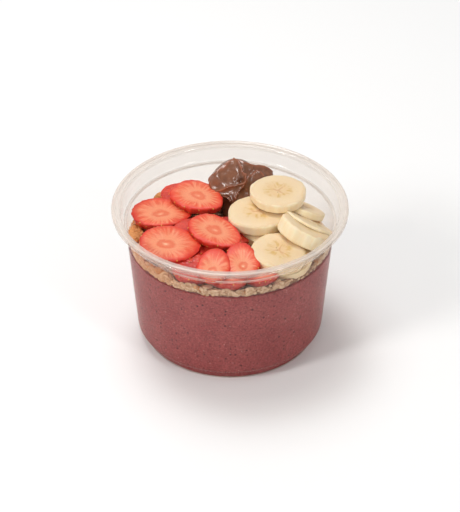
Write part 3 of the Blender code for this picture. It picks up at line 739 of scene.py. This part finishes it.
def placed(name, mesh, row):
    """A new object at a row's place, turned and leaning as the row says."""
    made = add_object(name, mesh)
    made.matrix_world = Matrix.Translation(Vector(row[1]) * MM) @ slope_matrix(row[2], row[3]).to_4x4()
    bpy.context.view_layer.update()
    return made


def subtract(made, cutters):
    """Presses a slice back where those above rest on it."""
    for cutter in cutters:
        cut = made.modifiers.new("cut", "BOOLEAN")
        cut.object = cutter
        cut.operation = "DIFFERENCE"
        cut.solver = "MANIFOLD"
    if cutters:
        bpy.context.view_layer.update()
        graph = bpy.context.evaluated_depsgraph_get()
        made.data = bpy.data.meshes.new_from_object(made.evaluated_get(graph))
        made.modifiers.clear()


def tree_of(made):
    points = [made.matrix_world @ v.co for v in made.data.vertices]
    return BVHTree.FromPolygons(points, [tuple(f.vertices) for f in made.data.polygons])


def finish_slice(made, row):
    """UV map across the slice, and its cut faces apart from its side."""
    name, size, point = row[0], row[4], row[5]
    banana = name.startswith("banana")
    mesh = made.data
    mesh.materials.clear()
    # Skin on the faces of the listed pieces; on strawberry_deep this is painted shade.
    mesh.materials.append(banana_flesh if banana else skin if name in SKIN_UP_AND_SHADED else flesh)
    mesh.materials.append(banana_side if banana else skin)
    if not banana:
        mesh.materials.append(seed_coat)
    layer = mesh.uv_layers.new(name="across")
    half_x, half_y, half_z = (s * MM * 0.5 for s in size)
    taper = 0.0 if banana else KINDS["strawberry"][1]
    core = complex(CORE_PLACE.get(name, 0.0))
    for polygon in mesh.polygons:
        steep = abs(polygon.normal.z) < 0.62
        rim = abs(polygon.center.z) < half_z * 0.93
        polygon.material_index = 1 if steep and rim else 0
        for index in polygon.loop_indices:
            v = mesh.vertices[mesh.loops[index].vertex_index].co
            turn = math.atan2(v.y, v.x)
            height = max(-1.0, min(1.0, v.z / half_z))
            shrink = 1 - taper * 0.5 * (1 - height)
            u = v.x / (half_x * shrink)
            w = v.y / (half_y * shrink * max(0.5, 1 - point * math.cos(turn)))
            here = complex(u, w)
            here = (here - core) / (1 - core.conjugate() * here)
            layer.data[index].uv = (0.5 + 0.5 * here.real, 0.5 + 0.5 * here.imag)


def add_seeds(made, row):
    """Small pale seeds, set a little into the skin side of a strawberry slice."""
    draw = random.Random(row[0] + "seeds")
    mesh = made.data
    sides = [p for p in mesh.polygons if p.material_index == 1]
    if not sides:
        return
    bm = bmesh.new()
    bm.from_mesh(mesh)
    bm.verts.ensure_lookup_table()
    spots = []
    for _ in range(SEED_TRIES):
        polygon = draw.choice(sides)
        centre = polygon.center.copy()
        if any((centre - other).length < SEED_SPACING * MM for other in spots):
            continue
        spots.append(centre)
        up = Vector((0, 0, 1))
        normal = polygon.normal
        along = (up - normal * up.dot(normal)).normalized()
        aside = normal.cross(along)
        basis = Matrix((aside, along, normal)).transposed().to_4x4()
        basis.translation = centre - normal * SEED_DEPTH * MM
        size_matrix = Matrix.Diagonal((*[half * MM for half in SEED_HALF_SIZES], 1.0))
        result = bmesh.ops.create_icosphere(bm, subdivisions=2, radius=1.0, matrix=basis @ size_matrix)
        for vertex in result["verts"]:
            for face in vertex.link_faces:
                face.material_index = 2
    bm.to_mesh(mesh)
    bm.free()


# The chocolate spread.
CHOCOLATE_PLACE = (6.0, 23.0, 68.0)
CHOCOLATE_FOOT = 59.4
# Above this height the ripples are pressed down, so that the tip isn't higher than the solid's.
CHOCOLATE_TIP = 80.6
CHOCOLATE_ROUNDS = 6
CHOCOLATE_CUTTER_ROUNDS = 5
# Width of the thin edges in radians, and the wider band round them that gets more points.
EDGE_WIDTH = 0.035
EDGE_BAND = 0.09
CHOCOLATE_LOBES = (
    ((-2.8, 3.6, 2.2), 11.6),
    ((7.2, 3.0, 1.0), 9.5),
    ((-7.4, 1.0, 2.4), 8.9),
    ((-4.0, -6.0, -3.0), 7.5),
    ((2.0, 0.0, -4.0), 10.8),
    ((-5.0, -10.5, -6.0), 5.0),
)
LOBE_SHARPNESS = 1.1
# Hollows pressed in by a spoon: direction, half width in radians, depth.
CHOCOLATE_HOLLOWS = (
    ((-0.36, -0.20, 0.91), 0.54, 4.2),
    ((-0.02, -0.42, 0.90), 0.20, 1.6),
    ((0.30, -0.02, 0.95), 0.26, 2.0),
    ((0.60, 0.22, 0.77), 0.20, 1.0),
    ((-0.64, -0.74, -0.16), 0.36, 2.6),
    ((0.05, -0.92, 0.35), 0.30, 1.0),
)
# Flat faces smoothed by the spoon: direction, distance from the middle.
CHOCOLATE_FACES = (((-0.45, -0.78, 0.43), 10.9), ((0.55, -0.35, 0.76), 11.9))
# Thin raised edges between them: directions along each, height.
CHOCOLATE_LIPS = (
    (((-0.25, 0.45, 0.86), (-0.12, 0.31, 0.94), (0.00, 0.05, 1.00), (0.06, -0.14, 0.99),
      (0.17, -0.30, 0.94), (0.19, -0.52, 0.83), (0.08, -0.65, 0.76)), 1.5),
    (((0.08, -0.65, 0.76), (-0.27, -0.68, 0.68), (-0.56, -0.63, 0.55), (-0.81, -0.50, 0.31),
      (-0.95, -0.31, 0.09)), 1.1),
    (((-0.25, 0.45, 0.86), (-0.60, 0.17, 0.78), (-0.80, 0.02, 0.60), (-0.96, 0.10, 0.24)), 0.8),
    (((-0.95, -0.31, 0.09), (-0.75, -0.66, 0.08), (-0.50, -0.87, 0.02)), 1.5),
    (((-0.20, 0.42, 0.88), (0.11, 0.29, 0.95), (0.41, 0.32, 0.85), (0.68, 0.35, 0.65),
      (0.87, 0.36, 0.34)), 1.2),
    (((0.12, -0.22, 0.97), (0.35, -0.21, 0.91), (0.53, 0.02, 0.85), (0.67, 0.05, 0.74),
      (0.78, -0.02, 0.63)), 1.3),
    (((0.35, -0.21, 0.91), (0.25, -0.50, 0.83), (0.02, -0.76, 0.65), (-0.12, -0.86, 0.50),
      (-0.25, -0.95, 0.20)), 0.8),
)


def unit(vector):
    vector = np.asarray(vector, float)
    return vector / np.linalg.norm(vector)


def angle_from(directions, aim):
    return np.arccos(np.clip(directions @ unit(aim), -1, 1))


def arc_distance(directions, start, end):
    """The angle from each direction to the nearest point of the arc between two others."""
    start, end = unit(start), unit(end)
    axis = unit(np.cross(start, end))
    height = directions @ axis
    along = directions - height[:, None] * axis
    along /= np.maximum(np.linalg.norm(along, axis=1), 1e-6)[:, None]
    inside = (np.cross(start, along) @ axis > 0) & (np.cross(along, end) @ axis > 0)
    far = np.minimum(angle_from(directions, start), angle_from(directions, end))
    return np.where(inside, np.abs(np.arcsin(np.clip(height, -1, 1))), far)


def soft_least(a, b, width):
    """The smaller of two values, with a rounded change from one to the other."""
    h = np.clip(0.5 + 0.5 * (b - a) / width, 0, 1)
    return b + (a - b) * h - width * h * (1 - h)


def chocolate_reach(directions, edge_width=EDGE_WIDTH):
    """How far the chocolate reaches along each direction, and how near each is to a thin edge."""
    total = 0
    for middle, radius in CHOCOLATE_LOBES:
        middle = np.asarray(middle)
        along = directions @ middle
        inside = radius**2 - middle @ middle + along**2
        total = total + np.exp((along + np.sqrt(np.maximum(inside, 0.01))) * LOBE_SHARPNESS)
    reach = np.log(total) / LOBE_SHARPNESS
    for aim, distance in CHOCOLATE_FACES:
        facing = np.maximum(directions @ unit(aim), 0.05)
        reach = soft_least(reach, distance / facing, 0.8)
    for aim, width, depth in CHOCOLATE_HOLLOWS:
        bowl = np.clip(1 - (angle_from(directions, aim) / width) ** 2, 0, 1)
        reach -= depth * bowl ** 0.8
    edge = np.zeros(len(directions))
    raised = np.zeros(len(directions))
    for points, rise in CHOCOLATE_LIPS:
        away = np.min([arc_distance(directions, p, q) for p, q in zip(points, points[1:])], axis=0)
        thin = np.exp(-((away / edge_width) ** 2))
        raised = np.maximum(raised, rise * (0.45 * np.exp(-((away / 0.12) ** 2)) + 0.55 * thin))
        edge = np.maximum(edge, thin)
    return reach + raised, edge


# A fixed seed for the wander of the thin edges, which would follow the clock without it.
noise.seed_set(5)


def bent_directions(directions):
    """Directions that wander a little, so that the thin edges aren't drawn with a ruler."""
    wander = np.array([noise.noise_vector(Vector(d) * 3.0)[:] for d in directions])
    bent = directions + 0.05 * wander
    return bent / np.linalg.norm(bent, axis=1)[:, None]


def chocolate_mesh(rounds, grow=0.0):
    """The dollop in metres round its own middle. The fine one has more points along its thin edges."""
    bm = bmesh.new()
    bmesh.ops.create_icosphere(bm, subdivisions=rounds, radius=1.0)
    if not grow:
        coarse = np.array([v.co[:] for v in bm.verts])
        edge = chocolate_reach(bent_directions(coarse), EDGE_BAND)[1]
        near = edge > 0.35
        edges = [e for e in bm.edges if near[e.verts[0].index] and near[e.verts[1].index]]
        bmesh.ops.subdivide_edges(bm, edges=edges, cuts=1, use_grid_fill=True)
        bmesh.ops.triangulate(bm, faces=bm.faces)
    directions = np.array([v.co.normalized()[:] for v in bm.verts])
    reach = chocolate_reach(bent_directions(directions))[0]
    lumpy = np.clip(1 - (angle_from(directions, CHOCOLATE_HOLLOWS[0][0]) / 0.5) ** 2, 0, 1)
    for v, direction, far, rough in zip(bm.verts, directions, reach, lumpy):
        d = Vector(direction)
        far += 0.5 * noise.noise(d * 2.2 + Vector((3.1, 0.2, 1.4))) + grow
        far += 0.16 * noise.fractal(d * 5.0, 0.8, 2.0, 3)
        far += 0.8 * rough * noise.noise(d * 8.0)
        v.co = d * far * MM
        v.co.z = max(v.co.z, (CHOCOLATE_FOOT - CHOCOLATE_PLACE[2] - grow) * MM)
        v.co.z -= 0.21 * max(0.0, v.co.z - (CHOCOLATE_TIP - CHOCOLATE_PLACE[2] + grow) * MM)
    mesh = bpy.data.meshes.new("chocolate_dollop")
    bm.to_mesh(mesh)
    bm.free()
    return mesh


def finish_chocolate(made):
    """Marks the thin edges for the material, which paints a highlight along them."""
    mesh = made.data
    mesh.materials.clear()
    mesh.materials.append(chocolate_spread)
    directions = np.array([v.co.normalized()[:] for v in mesh.vertices])
    layer = mesh.attributes.new("edge", "FLOAT", "POINT")
    layer.data.foreach_set("value", chocolate_reach(bent_directions(directions))[1])


def make_toppings():
    """Places every topping, cut back from those that rest on it. Gives their shapes for the granola."""
    cutters, trees = [], []
    for row in SLICES:
        name = row[0]
        is_chocolate = name == "chocolate"
        mesh = chocolate_mesh(CHOCOLATE_ROUNDS) if is_chocolate else slice_mesh(row, *PIECE_STEPS)
        made = placed("chocolate_dollop" if is_chocolate else name + "_piece", mesh, row)
        tree = tree_of(made)
        subtract(made, [c for c, t in zip(cutters, trees) if t.overlap(tree)])
        if is_chocolate:
            finish_chocolate(made)
        else:
            finish_slice(made, row)
        if name.startswith("strawberry"):
            add_seeds(made, row)
        settle(made, name.split("_")[0], name, angle=120 if is_chocolate else 50)
        if is_chocolate:
            mesh = chocolate_mesh(CHOCOLATE_CUTTER_ROUNDS, CUTTER_GAP)
        else:
            mesh = slice_mesh(row, *CUTTER_STEPS, CUTTER_GAP)
        cutters.append(placed(name + "_cutter", mesh, row))
        trees.append(tree_of(cutters[-1]))
    for cutter in cutters:
        bpy.data.objects.remove(cutter, do_unlink=True)
    return trees


topping_trees = make_toppings()


# The granola: a rough bed with real flakes and clusters over it.


GRANOLA_MIDDLE = 59.8
BED_STEPS = 240
# How far out pieces start at the wall, and how far they reach on top.
WALL_REACH = 50.3
TOP_REACH = 49.0


def granola_top(x, y):
    """The granola's height at a place, in mm."""
    reach = min(1.0, math.hypot(x, y) / inner_wall(GRANOLA_EDGE))
    level = GRANOLA_MIDDLE + (GRANOLA_EDGE - GRANOLA_MIDDLE) * reach**2
    return level + 0.25 * math.sin(x * 0.19 + 1.0) * math.cos(y * 0.17) - wall_fall(x, y)


def granola_bed():
    foot = ACAI_LEVEL - 0.5
    profile = [(r, foot) for r in (0.0, 30.0, 36.5, 42.0, 49.2)]
    profile += [(49.9, 56.2), (49.9, 57.4), (49.6, 58.4)]
    profile += [(r, 59.0) for r in (48.6, 47.0, 45, 42, 38, 36, 33, 27, 20, 12, 6, 0.0)]

    def lift(x, y, z):
        if z < 56:
            return z - wall_fall(x, y)
        rough = 0.5 * noise.noise(Vector((x, y, 0.0)) * 0.5) + 0.3 * noise.noise(Vector((x, y, 3.0)) * 1.3)
        sunk = 0.2 if math.hypot(x, y) > 48 else 1.0
        return min(z - wall_fall(x, y), granola_top(x, y) - sunk) + rough

    return revolve("granola_bed", profile, BED_STEPS, crumb, lift, -0.3)


settle(granola_bed(), "granola", "granola")


def flake_shape(draw):
    """A rolled oat: a thin bent oval with a crease."""
    bm = bmesh.new()
    bmesh.ops.create_icosphere(bm, subdivisions=3, radius=1.0)
    long, wide, thick = draw.uniform(2.2, 3.7), draw.uniform(1.6, 2.6), draw.uniform(0.5, 0.75)
    bend, crease = draw.uniform(-0.05, 0.06), draw.uniform(0.1, 0.3)
    shift = Vector((draw.uniform(0, 99), draw.uniform(0, 99), 0))
    for v in bm.verts:
        edge = 1 + 0.16 * noise.noise(Vector((v.co.x, v.co.y, 0)) * 1.2 + shift)
        x, y, z = v.co.x * long * edge, v.co.y * wide * edge, v.co.z * thick
        crease_here = crease * math.exp(-((y / 0.35) ** 2)) * (z > 0)
        z += bend * x * x - crease_here + 0.12 * noise.noise(v.co * 2 + shift)
        v.co = (x, y, z)
    return bm


def cluster_shape(draw, rounds=4):
    """A baked lump of crumbs with a knobbly outline."""
    bm = bmesh.new()
    bmesh.ops.create_icosphere(bm, subdivisions=rounds, radius=1.0)
    size = Vector((draw.uniform(2.4, 4.2), draw.uniform(2.0, 3.2), draw.uniform(1.4, 2.3)))
    shift = Vector((draw.uniform(0, 99), draw.uniform(0, 99), draw.uniform(0, 99)))
    for v in bm.verts:
        knob = 1 + 0.32 * noise.noise(v.co * 1.5 + shift) + 0.16 * noise.noise(v.co * 3.7 + shift)
        v.co = Vector(a * b for a, b in zip(v.co * knob, size))
    return bm


def inside_topping(points):
    """True if a point lies within one of the toppings."""
    for tree in topping_trees:
        for point in points:
            spot, normal = tree.find_nearest(point, 3 * MM)[:2]
            if spot is not None and (point - spot).dot(normal) < 0.0:
                return True
    return False


def scatter(name, shape, kinds, count, seed, material, placer):
    """Many copies of a few shapes joined in one mesh, clear of the toppings and inside the wall."""
    draw = random.Random(seed)
    library = []
    for _ in range(kinds):
        bm = shape(draw)
        bm.verts.ensure_lookup_table()
        points = np.array([v.co[:] for v in bm.verts])
        library.append((points, [[v.index for v in f.verts] for f in bm.faces]))
        bm.free()
    vertices, faces, tints, orange_by_place_values, total, made = [], [], [], [], 0, 0
    for _ in range(count * 12):
        if made == count:
            break
        points, shape_faces = draw.choice(library)
        spot, normal, scale, twist = placer(draw)
        spin = Matrix.Rotation(twist, 3, "Z")
        turn = Vector(normal).to_track_quat("Z", "Y").to_matrix()
        world = points @ np.array(turn @ spin).T * scale + spot
        radius = np.hypot(world[:, 0], world[:, 1])
        limit = np.where(world[:, 2] < 66, inner_wall(world[:, 2]), 52.6) - 0.08
        over = (radius - limit).max()
        if over > 0:
            world -= np.array([spot[0], spot[1], 0.0]) / math.hypot(spot[0], spot[1]) * (over + 0.02)
        if inside_topping([Vector(p * MM) for p in world[::7]]):
            continue
        vertices.append(world)
        faces += [[i + total for i in face] for face in shape_faces]
        tints += [draw.random()] * len(world)
        # How far towards orange a piece goes, growing towards the left and back.
        orange_by_place_values += [min(1.0, max(0.0, (-spot[0] - 12) / 22 + 0.3 * spot[1] / 50))] * len(world)
        total += len(world)
        made += 1
    piece = piece_from(name, np.concatenate(vertices), faces, material)
    for key, values in (("tint", tints), ("orange_by_place", orange_by_place_values)):
        layer = piece.data.attributes.new(key, "FLOAT", "POINT")
        layer.data.foreach_set("value", values)
    return piece


def at_wall(draw):
    """A place against the wall, more or less flat to it, from the acai up."""
    turn = draw.uniform(0, math.tau)
    x, y = WALL_REACH * math.cos(turn), WALL_REACH * math.sin(turn)
    z = draw.triangular(ACAI_LEVEL + 0.4, GRANOLA_EDGE + 0.8, ACAI_LEVEL + 2.0) - wall_fall(x, y)
    aside = math.cos(turn) + draw.uniform(-0.5, 0.5)
    ahead = math.sin(turn) + draw.uniform(-0.5, 0.5)
    normal = (aside, ahead, draw.uniform(-0.9, 0.9))
    return np.array([x, y, z]), normal, draw.uniform(0.5, 1.2), draw.uniform(-1.2, 1.2)


def on_top(draw):
    """A place anywhere on top of the granola, lying more or less flat."""
    turn = draw.uniform(0, math.tau)
    far = TOP_REACH * math.sqrt(draw.uniform(0.05, 0.98))
    x, y = far * math.cos(turn), far * math.sin(turn)
    spot = np.array([x, y, granola_top(x, y) - draw.uniform(0.1, 0.9)])
    normal = (draw.uniform(-0.5, 0.5), draw.uniform(-0.5, 0.5), 1.0)
    return spot, normal, draw.uniform(0.8, 1.1), draw.uniform(0, math.tau)


def on_top_or_left(draw):
    """Mostly anywhere on top, and now and then in the little heaps behind and beside the left slice."""
    chance = draw.random()
    if chance < 0.7:
        return on_top(draw)
    if chance < 0.82:
        spot = np.array([draw.uniform(-36.5, -33), draw.uniform(26.5, 31), draw.uniform(55, 58.5)])
    else:
        spot = np.array([draw.uniform(-49, -45), draw.uniform(-10, 4), draw.uniform(57.5, 60.5)])
    normal = (draw.uniform(-1, 1), draw.uniform(-1, 1), 1.0)
    return spot, normal, draw.uniform(0.7, 1.0), draw.uniform(0, math.tau)


def crumb_shape(draw):
    """A small cluster with fewer faces."""
    bm = cluster_shape(draw, 2)
    bmesh.ops.scale(bm, vec=(0.36, 0.36, 0.36), verts=bm.verts)
    return bm


# Name, shape, how many kinds of it, how many pieces, random seed, material, places.
GRANOLA_PARTS = (
    ("granola_wall_flakes", flake_shape, 14, 340, 3, oat, at_wall),
    ("granola_wall_clusters", cluster_shape, 8, 24, 4, cluster, at_wall),
    ("granola_wall_crumbs", crumb_shape, 12, 700, 7, oat, at_wall),
    ("granola_top_flakes", flake_shape, 14, 540, 5, oat, on_top),
    ("granola_top_clusters", cluster_shape, 8, 64, 6, cluster, on_top_or_left),
)
for part in GRANOLA_PARTS:
    settle(scatter(*part), "granola")


# Floor, light and camera, in metres.
FLOOR_HALF = 4
WORLD_STRENGTH = 0.37
WARM_WHITE = (1.0, 0.99, 0.975)
LIGHT_AIM_HEIGHT = 0.04
# Name, place, diameter, power and colour.
LIGHTS = (
    ("top", (-0.20, 0.30, 1.08), 0.5, 5.4, (1, 1, 1)),
    ("key", (-0.82, -0.55, 0.72), 0.26, 4.8, WARM_WHITE),
    ("right", (0.70, -0.75, 0.60), 0.25, 2.2, WARM_WHITE),
    ("backdrop", (0.0, 2.0, 1.4), 2.2, 6.0, (1, 1, 1)),
)
# The camera as fitted to the photo, which is 512 pixels high.
CAMERA_ELEVATION = 36.16
CAMERA_DISTANCE = 1.0
CAMERA_AIM_HEIGHT = 0.04322
FOCAL_PIXELS = 1993.2
PHOTO_HEIGHT = 512
SENSOR = 36.0


def make_floor():
    mesh = bpy.data.meshes.new("floor")
    corners = [(x * FLOOR_HALF, y * FLOOR_HALF, 0) for x, y in ((-1, -1), (1, -1), (1, 1), (-1, 1))]
    mesh.from_pydata(corners, [], [(0, 1, 2, 3)])
    material = new_material("pale_floor")
    n = Nodes(material)
    base = n.greys(n.noise(n.place(), 3.0), (0.3, 0.985), (0.7, 0.995))
    n.principled(Base_Color=base, Roughness=0.9, Specular_IOR_Level=0.1)
    mesh.materials.append(material)
    add_object("floor", mesh)


def area_light(name, place, size, power, colour):
    data = bpy.data.lights.new(name, "AREA")
    data.shape = "DISK"
    data.size = size
    data.energy = power
    data.color = colour
    made = add_object(name, data)
    made.location = place
    aim = Vector((0, 0, LIGHT_AIM_HEIGHT)) - Vector(place)
    made.rotation_euler = aim.to_track_quat("-Z", "Y").to_euler()


def make_world():
    world = bpy.data.worlds.new("studio")
    scene.world = world
    world.use_nodes = True
    background = world.node_tree.nodes["Background"]
    background.inputs["Color"].default_value = (*WARM_WHITE, 1.0)
    background.inputs["Strength"].default_value = WORLD_STRENGTH


def make_camera():
    data = bpy.data.cameras.new("photo_view")
    made = add_object("photo_view", data)
    elevation = math.radians(CAMERA_ELEVATION)
    back, up = CAMERA_DISTANCE * math.cos(elevation), CAMERA_DISTANCE * math.sin(elevation)
    made.location = (0, -back, CAMERA_AIM_HEIGHT + up)
    made.rotation_euler = (math.radians(90) - elevation, 0, 0)
    data.sensor_width = SENSOR
    data.lens = FOCAL_PIXELS / PHOTO_HEIGHT * SENSOR
    data.clip_start = 0.01
    scene.camera = made


make_floor()
make_world()
for light in LIGHTS:
    area_light(*light)
make_camera()
scene.view_settings.view_transform = "Standard"
